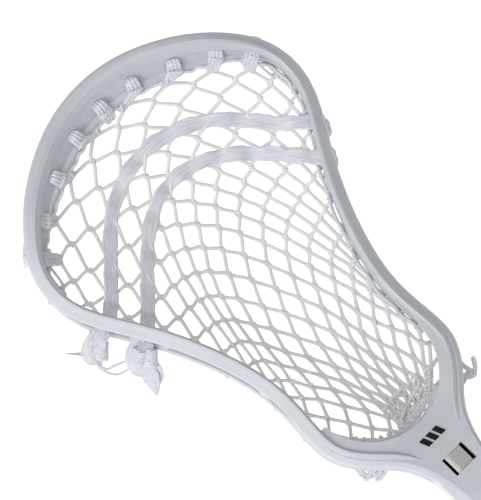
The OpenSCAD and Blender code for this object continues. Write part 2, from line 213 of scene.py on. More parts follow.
class Soup:
    """Swept closed bodies gathered into one mesh, in millimetres from the ball stop, with a UV of millimetres along and round."""

    def __init__(self):
        self.v, self.f, self.uv, self.n = [], [], [], 0

    def sweep(self, path, section, up=None, closed=False, twist=None, flat_uv=False):
        p = np.array(path, float)
        k = len(p)
        if closed:
            d = unit(np.roll(p, -1, 0) - np.roll(p, 1, 0))
        else:
            d = unit(np.gradient(p, axis=0))
        if up is None:
            s = np.zeros_like(p)
            seed = np.array([0.0, 0.0, 1.0]) if abs(d[0][2]) < 0.8 else np.array([1.0, 0.0, 0.0])
            s[0] = unit(np.cross(seed, d[0]))
            for i in range(1, k):
                s[i] = unit(s[i - 1] - d[i] * np.dot(s[i - 1], d[i]))
            if closed:
                last = unit(s[-1] - d[0] * np.dot(s[-1], d[0]))
                ang = math.atan2(np.dot(np.cross(last, s[0]), d[0]), np.dot(last, s[0]))
                for i in range(k):
                    q = ang * i / k
                    s[i] = s[i] * math.cos(q) + np.cross(d[i], s[i]) * math.sin(q)
        else:
            s = unit(np.cross(np.broadcast_to(np.array(up, float), p.shape), d))
        n = np.cross(d, s)
        if twist is not None:
            q = np.array(twist, float)[:, None]
            s, n = s * np.cos(q) + n * np.sin(q), n * np.cos(q) - s * np.sin(q)
        sec = np.array(section, float)
        sec = np.broadcast_to(sec, (k,) + sec.shape[-2:])
        ring = p[:, None] + sec[..., 0:1] * s[:, None] + sec[..., 1:2] * n[:, None]
        m = ring.shape[1]
        along = np.concatenate([[0], np.cumsum(np.linalg.norm(np.diff(p, axis=0), axis=1))])
        per = np.concatenate([[0], np.cumsum(np.linalg.norm(np.roll(sec[k // 2], -1, 0) - sec[k // 2], axis=1))])
        base = self.n
        self.v.append(ring.reshape(-1, 3))
        self.n += k * m
        spans = k if closed else k - 1
        step = np.linalg.norm(p[0] - p[-1]) if closed else 0
        for i in range(spans):
            a, b = base + i * m, base + ((i + 1) % k) * m
            u0 = along[i]
            u1 = along[i + 1] if i + 1 < k else along[-1] + step
            for j in range(m):
                j1 = (j + 1) % m
                self.f.append((a + j, a + j1, b + j1, b + j))
                if flat_uv:
                    v0, v1 = sec[i][j][0], sec[i][j1][0]
                else:
                    v0, v1 = per[j], per[j + 1]
                self.uv.append(((u0, v0), (u0, v1), (u1, v1), (u1, v0)))
        if not closed:
            self.f.append(tuple(base + j for j in range(m - 1, -1, -1)))
            self.uv.append(tuple((0.0, per[j]) for j in range(m - 1, -1, -1)))
            e = base + (k - 1) * m
            self.f.append(tuple(e + j for j in range(m)))
            self.uv.append(tuple((along[-1], per[j]) for j in range(m)))

    def cord(self, path, d, sides=8, **kw):
        """A round cord with rounded ends."""
        p = np.array(path, float)
        k = len(p)
        if kw.get("closed"):
            self.sweep(p, round_section(d, d, sides), **kw)
            return
        a0, a1 = unit(p[0] - p[1]), unit(p[-1] - p[-2])
        p = np.concatenate([[p[0] + a0 * d * 0.28, p[0] + a0 * d * 0.16], p, [p[-1] + a1 * d * 0.16, p[-1] + a1 * d * 0.28]])
        w = np.ones(k + 4)
        w[[0, -1]] = 0.35
        w[[1, -2]] = 0.8
        self.sweep(p, round_section(d, d, sides)[None] * w[:, None, None], **kw)

    def build(self, name, material, node, slot, body="stick"):
        me = bpy.data.meshes.new(name)
        v = np.concatenate(self.v) * 0.001
        v[:, 0] += HEAD_X * 0.001
        me.from_pydata(v.tolist(), [], self.f)
        layer = me.uv_layers.new(name="UVMap")
        layer.data.foreach_set("uv", np.array([c for face in self.uv for c in face], np.float32).ravel())
        me.polygons.foreach_set("use_smooth", [True] * len(me.polygons))
        me.update()
        me.materials.append(material)
        o = bpy.data.objects.new(name, me)
        scene.collection.objects.link(o)
        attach(o, body)
        if node:
            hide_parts(*([node] if isinstance(node, str) else node))
        return o


# ---------------------------------------------------------------- materials
class Mat:
    def __init__(self, name, base, rough, **more):
        self.m = bpy.data.materials.new(name)
        self.m.use_nodes = True
        self.t = self.m.node_tree
        self.t.nodes.clear()
        self.out = self.add("ShaderNodeOutputMaterial")
        self.b = self.add("ShaderNodeBsdfPrincipled")
        self.link(self.b.outputs[0], self.out.inputs[0])
        self.b.inputs["Base Color"].default_value = (*base, 1)
        self.b.inputs["Roughness"].default_value = rough
        for k, x in more.items():
            self.b.inputs[k.replace("_", " ")].default_value = x

    def add(self, kind, **props):
        n = self.t.nodes.new(kind)
        for k, x in props.items():
            setattr(n, k, x)
        return n

    def link(self, a, b):
        self.t.links.new(a, b)

    def where(self, kind="Object", scale=None):
        c = self.add("ShaderNodeTexCoord").outputs[kind]
        if scale is None:
            return c
        m = self.add("ShaderNodeMapping")
        m.inputs["Scale"].default_value = scale
        self.link(c, m.inputs[0])
        return m.outputs[0]

    def noise(self, co, scale, detail=3.0, rough=0.5):
        n = self.add("ShaderNodeTexNoise")
        n.inputs["Scale"].default_value = scale
        n.inputs["Detail"].default_value = detail
        n.inputs["Roughness"].default_value = rough
        self.link(co, n.inputs["Vector"])
        return n.outputs["Fac"]

    def ramp(self, fac, stops):
        n = self.add("ShaderNodeValToRGB")
        e = n.color_ramp.elements
        while len(e) < len(stops):
            e.new(0.5)
        for s, (pos, col) in zip(e, stops):
            s.position = pos
            s.color = (*col, 1) if len(col) == 3 else col
        self.link(fac, n.inputs[0])
        return n.outputs[0]

    def math(self, op, a, b=None, c=None):
        n = self.add("ShaderNodeMath", operation=op)
        for i, x in enumerate((a, b, c)):
            if x is None:
                continue
            if isinstance(x, (int, float)):
                n.inputs[i].default_value = x
            else:
                self.link(x, n.inputs[i])
        return n.outputs[0]

    def spread(self, fac, lo, hi, a=0.0, b=1.0):
        n = self.add("ShaderNodeMapRange")
        for i, x in enumerate((a, b, lo, hi)):
            n.inputs[i + 1].default_value = x
        self.link(fac, n.inputs[0])
        return n.outputs[0]

    def bump(self, height, distance, strength=1.0, normal=None):
        n = self.add("ShaderNodeBump")
        n.inputs["Distance"].default_value = distance
        n.inputs["Strength"].default_value = strength
        self.link(height, n.inputs["Height"])
        if normal is not None:
            self.link(normal, n.inputs["Normal"])
        return n.outputs[0]

    def colour(self, c):
        self.link(c, self.b.inputs["Base Color"])

    def normal(self, n):
        self.link(n, self.b.inputs["Normal"])

    def rough(self, r):
        self.link(r, self.b.inputs["Roughness"])


def mix_colour(m, fac, a, b):
    n = m.add("ShaderNodeMix", data_type="RGBA")
    for s, x in ((n.inputs[0], fac), (n.inputs[6], a), (n.inputs[7], b)):
        if isinstance(x, tuple):
            s.default_value = (*x, 1)
        elif isinstance(x, (int, float)):
            s.default_value = x
        else:
            m.link(x, s)
    return n.outputs[2]


def plastic():
    m = Mat("moulded_nylon", (0.74, 0.76, 0.80), 0.4)
    m.b.inputs["IOR"].default_value = 1.5
    m.b.inputs["Subsurface Weight"].default_value = 0.08
    m.b.inputs["Subsurface Radius"].default_value = (0.004, 0.004, 0.005)
    m.b.inputs["Subsurface Scale"].default_value = 0.4
    co = m.where()
    cloud = m.noise(co, 26, 4, 0.55)
    grain = m.noise(co, 1500, 2)
    m.colour(m.ramp(cloud, [(0.3, (0.485, 0.497, 0.53)), (0.7, (0.545, 0.552, 0.578))]))
    m.rough(m.spread(m.noise(co, 60, 3), 0.30, 0.46, 0.3, 0.7))
    scuff = m.noise(m.where(scale=(1, 6, 1)), 120, 5, 0.7)
    m.normal(m.bump(grain, 0.00003, 0.6, m.bump(scuff, 0.00004, 0.5)))
    return m.m


def fibre(name="mesh_cord", painted_lift=1.0):
    """Knitted mesh cord: two runs of stitches that cross, over the UV of millimetres; a lift above 1 makes a lighter
    copy, painted light that offsets shade.
    """
    m = Mat(name, (0.74, 0.74, 0.72), 0.72)
    m.b.inputs["Sheen Weight"].default_value = 0.25
    m.b.inputs["Sheen Roughness"].default_value = 0.5
    sep = m.add("ShaderNodeSeparateXYZ")
    m.link(m.where("UV"), sep.inputs[0])
    u, v = sep.outputs[0], sep.outputs[1]
    one = m.math("SINE", m.math("MULTIPLY_ADD", u, 4.2, m.math("MULTIPLY", v, 3.3)))
    two = m.math("SINE", m.math("SUBTRACT", m.math("MULTIPLY", u, 4.2), m.math("MULTIPLY", v, 3.3)))
    braid = m.math("MAXIMUM", one, two)
    wool = m.noise(m.where(), 2600, 3, 0.7)
    shade = m.spread(braid, 0.0, 1.0, -0.5, 1.0)
    tone = m.noise(m.where(), 45, 3)
    light = m.ramp(tone, [(0.3, (0.83 * painted_lift, 0.83 * painted_lift, 0.82 * painted_lift)), (0.72, (0.89 * painted_lift, 0.885 * painted_lift, 0.865 * painted_lift))])
    m.colour(mix_colour(m, shade, (0.73 * painted_lift, 0.73 * painted_lift, 0.72 * painted_lift), light))
    m.normal(m.bump(wool, 0.00008, 0.6, m.bump(braid, 0.00016, 0.9)))
    return m.m


def webbing():
    """Flat woven lace: chevrons over the UV of millimetres along and across, in fine ribs, with grey-blue streaks."""
    m = Mat("woven_lace", (0.74, 0.75, 0.79), 0.8)
    m.b.inputs["Sheen Weight"].default_value = 0.2
    m.b.inputs["Sheen Roughness"].default_value = 0.5
    sep = m.add("ShaderNodeSeparateXYZ")
    m.link(m.where("UV"), sep.inputs[0])
    u, v = sep.outputs[0], sep.outputs[1]
    fold = m.math("ABSOLUTE", m.math("SUBTRACT", m.math("FRACT", m.math("MULTIPLY", v, 0.47)), 0.5))
    chevron = m.math("SINE", m.math("MULTIPLY_ADD", fold, 9.0, m.math("MULTIPLY", u, 5.4)))
    rib = m.math("SINE", m.math("MULTIPLY", v, 5.9))
    weave = m.math("ADD", m.math("MULTIPLY", chevron, 0.6), m.math("MULTIPLY", rib, 0.4))
    streak = m.add("ShaderNodeMapping")
    streak.inputs["Scale"].default_value = (0.09, 0.9, 1.0)
    m.link(m.where("UV"), streak.inputs[0])
    long = m.noise(streak.outputs[0], 1.0, 4, 0.6)
    light = m.ramp(long, [(0.34, (0.65, 0.65, 0.715)), (0.6, (0.85, 0.85, 0.88))])
    m.colour(mix_colour(m, m.spread(weave, 0.35, 1.0, -0.9, 0.5), (0.67, 0.67, 0.74), light))
    m.normal(m.bump(m.noise(m.where(), 2400, 3, 0.7), 0.00008, 0.5, m.bump(weave, 0.00022, 0.9)))
    return m.m


def twine():
    """Laid nylon string: strands that wind round it."""
    m = Mat("nylon_string", (0.78, 0.79, 0.80), 0.5)
    m.b.inputs["Sheen Weight"].default_value = 0.1
    sep = m.add("ShaderNodeSeparateXYZ")
    m.link(m.where("UV"), sep.inputs[0])
    lay = m.math("SINE", m.math("MULTIPLY_ADD", sep.outputs[0], 3.4, m.math("MULTIPLY", sep.outputs[1], 2.62)))
    m.colour(mix_colour(m, m.spread(lay, 0.2, 1.0, -0.9, 0.4), (0.62, 0.63, 0.665), (0.74, 0.75, 0.785)))
    m.normal(m.bump(m.noise(m.where(), 2200, 2), 0.00005, 0.5, m.bump(lay, 0.0002, 0.8)))
    return m.m


def foam():
    m = Mat("closed_cell_foam", (0.5, 0.51, 0.54), 0.9)
    co = m.where()
    v = m.add("ShaderNodeTexVoronoi")
    v.inputs["Scale"].default_value = 620
    m.link(co, v.inputs["Vector"])
    cell = v.outputs["Distance"]
    m.colour(mix_colour(m, m.spread(cell, 0.0, 1.0, 0.1, 0.6), (0.46, 0.47, 0.50), (0.60, 0.61, 0.64)))
    m.normal(m.bump(cell, 0.0002, 0.7, m.bump(m.noise(co, 90, 3), 0.0003, 0.4)))
    return m.m


def ink():
    m = Mat("black_ink", (0.008, 0.008, 0.009), 0.6, Specular_IOR_Level=0.15)
    co = m.where()
    m.colour(m.ramp(m.noise(co, 700, 3), [(0.3, (0.004, 0.004, 0.005)), (0.75, (0.014, 0.014, 0.016))]))
    m.rough(m.spread(m.noise(co, 300, 2), 0.5, 0.7, 0.3, 0.7))
    return m.m


def steel():
    m = Mat("screw_steel", (0.62, 0.62, 0.61), 0.28, Metallic=1.0)
    co = m.where()
    m.rough(m.spread(m.noise(co, 900, 3), 0.2, 0.42, 0.3, 0.7))
    ring = m.add("ShaderNodeTexWave", wave_type="RINGS", rings_direction="Z")
    ring.inputs["Scale"].default_value = 900
    shift = m.add("ShaderNodeMapping")
    shift.inputs["Location"].default_value = (-(HEAD_X - 52) * 0.001, 0, 0)
    m.link(co, shift.inputs[0])
    m.link(shift.outputs[0], ring.inputs[0])
    m.normal(m.bump(ring.outputs["Fac"], 0.00001, 0.5))
    return m.m


def alloy():
    """Anodised shaft: drawn lines along its length, a painted highlight that lightens its +y side, and painted shade,
    near-black, on its sides inside the throat each side of the front flat.
    """
    m = Mat("anodised_alloy", (0.45, 0.45, 0.46), 0.33, Metallic=1.0)
    long = m.where(scale=(3, 420, 420))
    lines = m.noise(long, 3.0, 5, 0.65)
    m.rough(m.spread(lines, 0.26, 0.44, 0.3, 0.7))
    sep = m.add("ShaderNodeSeparateXYZ")
    m.link(m.where(), sep.inputs[0])
    # painted shade: inside the throat the shaft's sides beyond the front flat are made near-black, for the shade in the
    # gaps of the window
    painted_gap_shade = m.math("MULTIPLY", m.math("GREATER_THAN", sep.outputs[0], (HEAD_X - 78) * 0.001),
                    m.math("GREATER_THAN", m.math("ABSOLUTE", sep.outputs[1]), 0.0053))
    tone_and_painted_highlight = m.ramp(lines, [(0.3, (0.215, 0.21, 0.20)), (0.7, (0.30, 0.295, 0.28))])
    # painted highlight: the drawn-line tone gives way to a lighter grey towards the +y side, where the light falls
    tone_and_painted_highlight = mix_colour(m, m.spread(sep.outputs[1], 0.0, 0.8, 0.0022, 0.0044), tone_and_painted_highlight, (0.47, 0.47, 0.455))
    m.colour(mix_colour(m, painted_gap_shade, tone_and_painted_highlight, (0.006, 0.006, 0.007)))
    m.normal(m.bump(lines, 0.00002, 0.4))
    return m.m


def rubber():
    m = Mat("cap_rubber", (0.03, 0.03, 0.032), 0.7)
    co = m.where()
    m.colour(m.ramp(m.noise(co, 40, 4), [(0.3, (0.022, 0.022, 0.024)), (0.75, (0.045, 0.045, 0.048))]))
    m.rough(m.spread(m.noise(co, 260, 3), 0.55, 0.85, 0.3, 0.7))
    m.normal(m.bump(m.noise(co, 1300, 2), 0.00008, 0.6))
    return m.m


PLASTIC, FIBRE, WEBBING, TWINE = plastic(), fibre(), webbing(), twine()
# painted light: the gathered tangle and the throat lacing get a copy of the cord 9 % lighter, to offset the shade among
# their cords
PAINTED_LIGHT_FIBRE = fibre("gathered_cord_painted_lighter", 1.09)
for n, m in (("head_frame", PLASTIC), ("throat_badge", ink()), ("head_screw", steel()), ("shaft", alloy()), ("end_cap", rubber())):
    nodes[n].data.materials.clear()
    nodes[n].data.materials.append(m)

# ---------------------------------------------------------------- the foam pad of the ball stop
pad = Soup()


def pad_ring(y, x0, x1, z0, z1, r):
    """A rounded box section across the head at y."""
    r = min(r, (x1 - x0) / 2 - 0.05, (z1 - z0) / 2 - 0.05)
    pts = []
    for cx, cz, a0 in ((x1 - r, z1 - r, 0), (x0 + r, z1 - r, 90), (x0 + r, z0 + r, 180), (x1 - r, z0 + r, 270)):
        for a in (0, 22.5, 45, 67.5, 90):
            q = math.radians(a0 + a)
            pts.append((cx + r * math.cos(q), y, cz + r * math.sin(q)))
    # the long faces carry points of their own, so that they can swell and dip a little
    out = []
    n = len(pts)
    for k in range(n):
        a, b = np.array(pts[k]), np.array(pts[(k + 1) % n])
        out.append(a)
        if np.linalg.norm(b - a) > 6:
            for f in (0.2, 0.4, 0.6, 0.8):
                out.append(a + (b - a) * f)
    return np.array(out)


rows_pad = []
for y in np.concatenate([[-22.9, -22.6, -22.0, -21.0], np.linspace(-19.5, 19.5, 27), [21.0, 22.0, 22.6, 22.9]]):
    e = max(0.0, abs(y) - 20.3) / 2.7
    front = STOP_X - math.sqrt(STOP_R**2 - y * y)
    pinch = 1.3 * (1 - math.sqrt(max(0.0, 1 - max(0.0, (abs(y) - 21) / 1.95)**2)))
    rows_pad.append(pad_ring(y, -2.0 + 3.0 * e**1.3 + 0.3 * pinch, front - pinch, -14.9 + pinch, 7.9 - pinch, 1.5))
ring_n = min(len(q) for q in rows_pad)
rows_pad = [q for q in rows_pad if len(q) == ring_n]
stack = np.array(rows_pad)
for i in range(len(stack)):
    for j in range(ring_n):
        x, y, z = stack[i, j]
        if -12 < z < 5 and x > -1.5:
            stack[i, j, 0] -= 0.16 * (1 + math.sin(y * 0.55 + z * 0.3) * math.cos(z * 0.6 - y * 0.21))
base = pad.n
pad.v.append(stack.reshape(-1, 3))
pad.n += stack.shape[0] * ring_n
for i in range(stack.shape[0] - 1):
    for j in range(ring_n):
        j1 = (j + 1) % ring_n
        pad.f.append((base + i * ring_n + j, base + i * ring_n + j1, base + (i + 1) * ring_n + j1, base + (i + 1) * ring_n + j))
        pad.uv.append(((j, i), (j + 1, i), (j + 1, i + 1), (j, i + 1)))
pad.f.append(tuple(base + j for j in range(ring_n - 1, -1, -1)))
pad.uv.append(tuple((j, 0.0) for j in range(ring_n)))
e = base + (stack.shape[0] - 1) * ring_n
pad.f.append(tuple(e + j for j in range(ring_n)))
pad.uv.append(tuple((j, 1.0) for j in range(ring_n)))
pad_obj = pad.build("ball_stop_pad", foam(), "ball_stop", "foam")

# ---------------------------------------------------------------- the net
# Where the knots of the even rows lie, in millimetres, for columns 1, 3, 5, 7 and 9 of 10, or 1 to 9 near the throat; the edge columns run along the sides.
ROWS = [(0, (196, 77), (221, 53), (239, 0), (223, -53), (200, -80)),
        (2, (185, 74), (213, 43), (226, -1), (214, -46), (187, -78)),
        (4, (167, 65), (195, 35), (208, -2), (197, -40), (169, -70)),
        (6, (149, 55), (177, 28), (190, -3), (179, -35), (151, -61)),
        (8, (134, 46), (161, 24), (172, -4), (161, -32), (135, -53)),
        (10, (119, 39), (145, 21), (154, -5), (144, -30), (118, -47)),
        (12, (103, 35), (127, 20), (134, -5), (125, -28), (102, -42)),
        (14, (88, 33), (104, 18), (109, -5), (104, -26), (86, -39)),
        (16, (72, 31), (81, 16), (83, -5), (81, -24), (70, -37)),
        (18, (56, 29), (57.5, 20), (57, 11), (56.5, 3), (57, -5.5), (57.5, -13), (58, -20), (57, -28), (55, -35.5)),
        (20, (38.5, 27), (37.5, 15.5), (36, 7), (35.5, 1.3), (35.5, -5), (35, -11.5), (36, -17.5), (38, -25.5), (39, -34.5)),
        (22, (21, 27), (17.5, 15), (15.8, 4.6), (16.5, -0.6), (17.3, -5.3), (17.4, -10.5), (18, -15.4), (18.5, -22), (20.5, -28)),
        (24, (10.7, 22.4), (5.4, 14.3), (3.3, 8), (3.9, 3.4), (4.7, -1.7), (5.1, -6.5), (6, -11.5), (7, -16.5), (9, -20.5))]
SIDE_X = [(0, 192), (2, 175), (4, 156), (6, 137.5), (8, 120.5), (10, 103.5), (12, 88), (14, 74), (16, 62), (18, 50),
          (20, 38), (22, 27), (24, 18)]
LAST = 24
step_r, step_c = 0.25, 0.25
rr = np.arange(0, LAST + 1e-6, step_r)
cc = np.arange(0, 10 + 1e-6, step_c)
even = [row[0] for row in ROWS]
grid = np.zeros((len(even), len(cc), 2))
for i, row in enumerate(ROWS):
    ex = look(row[0], SIDE_X)
    ey = half_at(ex) - 0.4
    pts = [(ex, ey)] + list(row[1:]) + [(ex, -ey)]
    for a in (0, 1):
        grid[i, :, a] = natural([0, 1, 3, 5, 7, 9, 10] if len(pts) == 7 else range(11), [q[a] for q in pts], cc)
dense = np.zeros((len(rr), len(cc), 2))
for j in range(len(cc)):
    for a in (0, 1):
        dense[:, j, a] = natural(even, grid[:, j, a], rr)
# two of the topmost knots are pulled out against the corner of the scoop
tug = np.exp(-((rr - 1) / 0.7) ** 2)[:, None] * np.exp(-((cc - 2.3) / 0.9) ** 2)[None]
dense += tug[..., None] * np.array([2.6, 2.6])


def net_xy(r, c):
    fr, fc = np.clip(r / step_r, 0, len(rr) - 1.001), np.clip(c / step_c, 0, len(cc) - 1.001)
    i, j = int(fr), int(fc)
    a, b = fr - i, fc - j
    q = (dense[i, j] * (1 - a) * (1 - b) + dense[i + 1, j] * a * (1 - b) + dense[i, j + 1] * (1 - a) * b
         + dense[i + 1, j + 1] * a * b)
    x, y = float(min(q[0], TIP - 0.6)), float(q[1])
    h = half_at(x) - 0.3
    return np.array([x, max(-h, min(h, y))])


def net_point(r, c, off=0.0):
    x, y = net_xy(r, c)
    n = pocket_normal(x, y)
    return np.array([x, y, pocket_z(x, y)]) + n * (off - 1.0)


def across(r, c):
    d = net_xy(r, min(10, c + 0.3)) - net_xy(r, max(0, c - 0.3))
    return d / max(np.linalg.norm(d), 1e-6)


def is_node(r, c):
    return (r % 2 == 0) == (abs(c - round(c)) < 0.01)


TOP, CORD = 1, 2.15
net = Soup()
rng = np.random.default_rng(7)
for side in (1, -1):
    for c0 in range(0, 10) if side > 0 else range(1, 11):
        pts = []
        for r in range(TOP, LAST + 1):
            c = c0 if r % 2 == 0 else c0 + 0.5 * side
            sign = side if r % 2 == 0 else -side
            lone = c <= 0.01 or c >= 9.99
            w = 0.0 if lone else 0.8
            grow = 0.18 if r < 12 else 0.16 if r < 20 else 0.12
            for q in (-grow, grow):
                rq = min(max(r + q, TOP), LAST)
                a = across(r, c)
                g = net_point(rq, c, 0.32 * side * (1 if q < 0 else -1))
                pts.append(g + np.array([a[0], a[1], 0]) * sign * w)
        path = smooth_path(pts, 5)
        s = np.concatenate([[0], np.cumsum(np.linalg.norm(np.diff(path, axis=0), axis=1))])
        rad = 1 + 0.05 * np.sin(s * 4.1) + 0.03 * rng.standard_normal(len(s))
        net.sweep(path, round_section(CORD, CORD * 0.92, 8)[None] * rad[:, None, None], up=(0, 0, 1))
# the wrap of each knot, round both cords
for r in range(TOP, LAST + 1):
    for c in np.arange(0, 10.01, 0.5):
        if not is_node(r, c) or r > 22:
            continue
        a = across(r, c)
        lone = c <= 0.01 or c >= 9.99
        g0, g1 = net_point(r - 0.2, c), net_point(r + 0.2, c)
        axis = unit(g1 - g0)
        side_v = unit(np.array([a[0], a[1], 0.0]) - axis * np.dot([a[0], a[1], 0], axis))
        n = np.cross(axis, side_v)
        mid = (g0 + g1) / 2
        wide = 1.1 if lone else 1.66
        for shift, lean in ((-0.42, 0.3), (0.42, -0.3)):
            th = np.arange(12) * 2 * math.pi / 12
            ring = [mid + axis * (shift + lean * math.cos(t)) + side_v * wide * math.cos(t) + n * 1.12 * math.sin(t) for t in th]
            net.sweep(ring, round_section(0.85, 0.85, 6), closed=True)
# the end of the net, drawn together in a tangle in the middle of the throat
net_obj = net.build("mesh_net", FIBRE, "mesh_pocket", "mesh_fabric")
gather = Soup()
for k in range(34):
    r, c = rng.uniform(21.9, 23.9), rng.uniform(3.4, 7.4)
    head = rng.uniform(0, 2 * math.pi)
    pts = []
    for _ in range(int(rng.integers(4, 8))):
        q = net_point(min(24, max(21.7, r)), min(7.9, max(3.2, c)), 1.6 + rng.uniform(-2.2, 1.6))
        pts.append(q)
        head += rng.uniform(-1.1, 1.1)
        r += 0.55 * math.cos(head)
        c += 1.0 * math.sin(head)
    d = rng.uniform(1.3, 1.9)
    if min(np.linalg.norm(a - b) for a, b in zip(pts[:-1], pts[1:])) > 0.4:
        gather.cord(smooth_path(pts, 5), d, 6)
gather.build("mesh_gather", PAINTED_LIGHT_FIBRE, "mesh_pocket", "mesh_fabric")

# ---------------------------------------------------------------- strings
STRING = 2.2


def rail_loop(soup, t, d=1.9):
    """A turn of string through a hole of the back rail and round under it."""
    i, dep = inset(t), depth(t)
    pts = [(7.2, 4.1), (2.7, 3.8), (0.5, 3.3), (-0.1, 1.5), (0.7, -0.4), (2.7, -1.2), (5.6, -0.9), (7.4, 1.2)]
    soup.sweep(smooth_path([place(t, i + a, b - dep) for a, b in pts], 3, closed=True), round_section(d, d, 8), closed=True)


for side, name in ((1, "left"), (-1, "right")):
    s = Soup()
    pts = []
    for k in range(0, 91):
        t = MID + side * (3.15 + k * 5.3 / 90)
        wob = 0.45 * math.cos(k * 2 * math.pi / 9)
        pts.append(place(t, inset(t) + 6.9 + wob, 3.8 - depth(t) + 0.5 * math.sin(k * 2 * math.pi / 9)))
    s.cord(pts, STRING, 8)
    for q in (3.2, 4.3, 5.1, 5.9, 6.7, 7.5, 8.3):
        rail_loop(s, MID + side * q)
    # hitches over the net's edge knots
    for r in range(2, 23, 2):
        e = net_point(r, 0.0 if side > 0 else 10.0)
        n = pocket_normal(e[0], e[1] * 0.97)
        d2 = net_xy(min(r + 0.6, 24), 0 if side > 0 else 10) - net_xy(r - 0.6, 0 if side > 0 else 10)
        along = unit(np.array([d2[0], d2[1], 0.0]))
        out = np.array([-along[1], along[0], 0]) * (1 if side < 0 else -1)
        if out[1] * side < 0:
            out = -out
        th = np.arange(14) * 2 * math.pi / 14
        c = e + out * 0.4 + np.array([0, 0, 0.2])
        s.sweep([c + out * 2.2 * math.cos(q) + np.array([0, 0, 1]) * 2.1 * math.sin(q) + along * 0.7 * math.sin(q + 0.6) for q in th],
                round_section(1.5, 1.5, 6), closed=True)
    if side < 0:
        # two ends tied in a vee outside the throat
        s.cord(smooth_path([(18, -36, -14), (12.9, -39, -9.5), (8.1, -39.8, -8), (4.1, -40.3, -8), (1.0, -40.9, -8), (-1.3, -41.8, -7), (0.5, -44.0, -6),
                            (4.4, -46.4, -5.5)], 6), 2.6, 9)
        s.cord(smooth_path([(11, -31, -12), (7.0, -33.4, -8.6), (3.4, -35.8, -8), (-0.5, -37.1, -8), (-2.2, -39.0, -7.6), (-2.0, -41.8, -7)], 6), 2.4, 9)
        s.cord(smooth_path([(4, -31.5, -13), (0.9, -33.4, -10), (0.2, -36.4, -8.8), (1.2, -39.2, -8.6)], 6), 2.2, 9)
        s.cord(smooth_path([(0, -28.5, -12), (-1.4, -31.8, -10), (-0.9, -35.4, -9), (0.2, -38.4, -9.2)], 6), 2.0, 9)
        s.sweep([np.array((-1.5, -40.4, -7.4)) + np.array((1.5 * math.cos(q), 1.7 * math.sin(q) * 0.6, 1.9 * math.sin(q))) for q in np.arange(12) * math.pi / 6],
                round_section(1.9, 1.9, 7), closed=True)
    else:
        # two short ends that hang below the throat
        s.cord(smooth_path([(15, 34, -20), (11.4, 36.7, -23), (6.6, 37.8, -25), (2.5, 38.1, -26), (-0.8, 37.7, -26), (0.2, 34.4, -25), (2.8, 31.0, -23)], 6), 2.5, 9)
        s.cord(smooth_path([(0, 21, -20), (-2.4, 23.6, -23), (-4.8, 27.9, -25), (-5.3, 32.2, -26), (-4.6, 33.9, -26), (-2.1, 32.9, -25), (2.0, 30.3, -23)], 6), 2.5, 9)
        s.cord(smooth_path([(9, 34, -21), (5.5, 36.4, -24.4), (1.6, 36.2, -25.6), (-1.8, 34.6, -25.6), (-3.4, 31.0, -24.6), (-1.6, 27.4, -22)], 6), 2.4, 9)
        s.cord(smooth_path([(6, 31, -20), (2.8, 33.6, -24), (-0.6, 32.4, -25), (-2.6, 29.4, -24), (0.4, 26.4, -21)], 6), 2.2, 9)
    s.build("sidewall_lacing_" + name, TWINE, "sidewall_string_" + name, "string_nylon")

top = Soup()
holes = [MID + (k - 4) * 0.85 for k in range(9)]
knot_c = {0: 8.5, 1: 7.5, 2: 6.5, 3: 5.5, 4: 5.0, 5: 4.5, 6: 3.5, 7: 2.5, 8: 1.5}
outside = []
for k, t in enumerate(holes):
    i, d = inset(t), depth(t)
    hu, hv = i - 2.6, 0.6 - d / 2
    c = knot_c[k]
    # the row-1 knot that the loops catch
    kn = net_point(1.0, c, 0.2)
    kn_in = net_point(1.14, c, 0.9)
    ax = unit(place(t + 0.1, i, 0) - place(t - 0.1, i, 0))
    hole = place(t, hu + 0.6, hv + 0.6)
    inn = place(t, hu + 3.0, hv + 1.5)
    mid_way = place(t, hu + 6.2, hv - 1.6)
    lip = place(t, i + 4.6, 8.6 - d)
    tuck = place(t, hu - 2.2, hv - 2.4)
    for w, wk, low, d_loop in ((2.6, 2.1, 0.0, 2.6), (0.9, 0.8, 0.5, 2.5)):
        loop = [tuck - ax * w * 0.7, hole - ax * w * 0.8, inn - ax * w, mid_way - ax * w * 1.15, lip - ax * w * 1.15, (kn + kn_in) / 2 - ax * wk + (0, 0, 1.2),
                kn_in + (0, 0, 0.8 + low), (kn + kn_in) / 2 + ax * wk + (0, 0, 1.2), lip + ax * w * 1.15, mid_way + ax * w * 1.15, inn + ax * w,
                hole + ax * w * 0.8, tuck + ax * w * 0.7]
        loop = [q + np.array((0, 0, low)) for q in loop]
        top.cord(smooth_path(loop, 5), d_loop, 9)
    # a turn round the loops at the lip
    th = np.arange(14) * 2 * math.pi / 14
    out = unit(inn - lip)
    c0 = lip * 0.7 + mid_way * 0.3
    top.sweep([c0 + ax * 4.1 * math.cos(q) + np.cross(ax, out) * 1.9 * math.sin(q) + out * 0.5 * math.cos(q + 1) for q in th], round_section(1.8, 1.8, 7), closed=True)
    outside.append(place(t, hu - 2.6, hv - 2.2))
run = []
for a, b in zip(holes[:-1], holes[1:]):
    for q in np.linspace(0, 1, 8)[:-1]:
        t = a + (b - a) * q
        sag = math.sin(math.pi * q)
        run.append(place(t, inset(t) - 5.2 - 0.4 * sag, -depth(t) / 2 - 2.6 - 0.6 * sag))
t = holes[-1]
run.append(place(t, inset(t) - 5.2, -depth(t) / 2 - 2.6))
top.cord(run, 2.0, 8)
# the line that the net's top knots hang on, laid along the inside of the back rail
line = []
for t in np.arange(MID - 3.55, MID + 3.56, 0.05):
    i, d = inset(t), depth(t)
    line.append(place(t, i + 5.9 + 0.35 * math.sin(t * 19), 4.6 - d + 0.5 * math.sin(t * 23)))
top.cord(line, 2.0, 8)
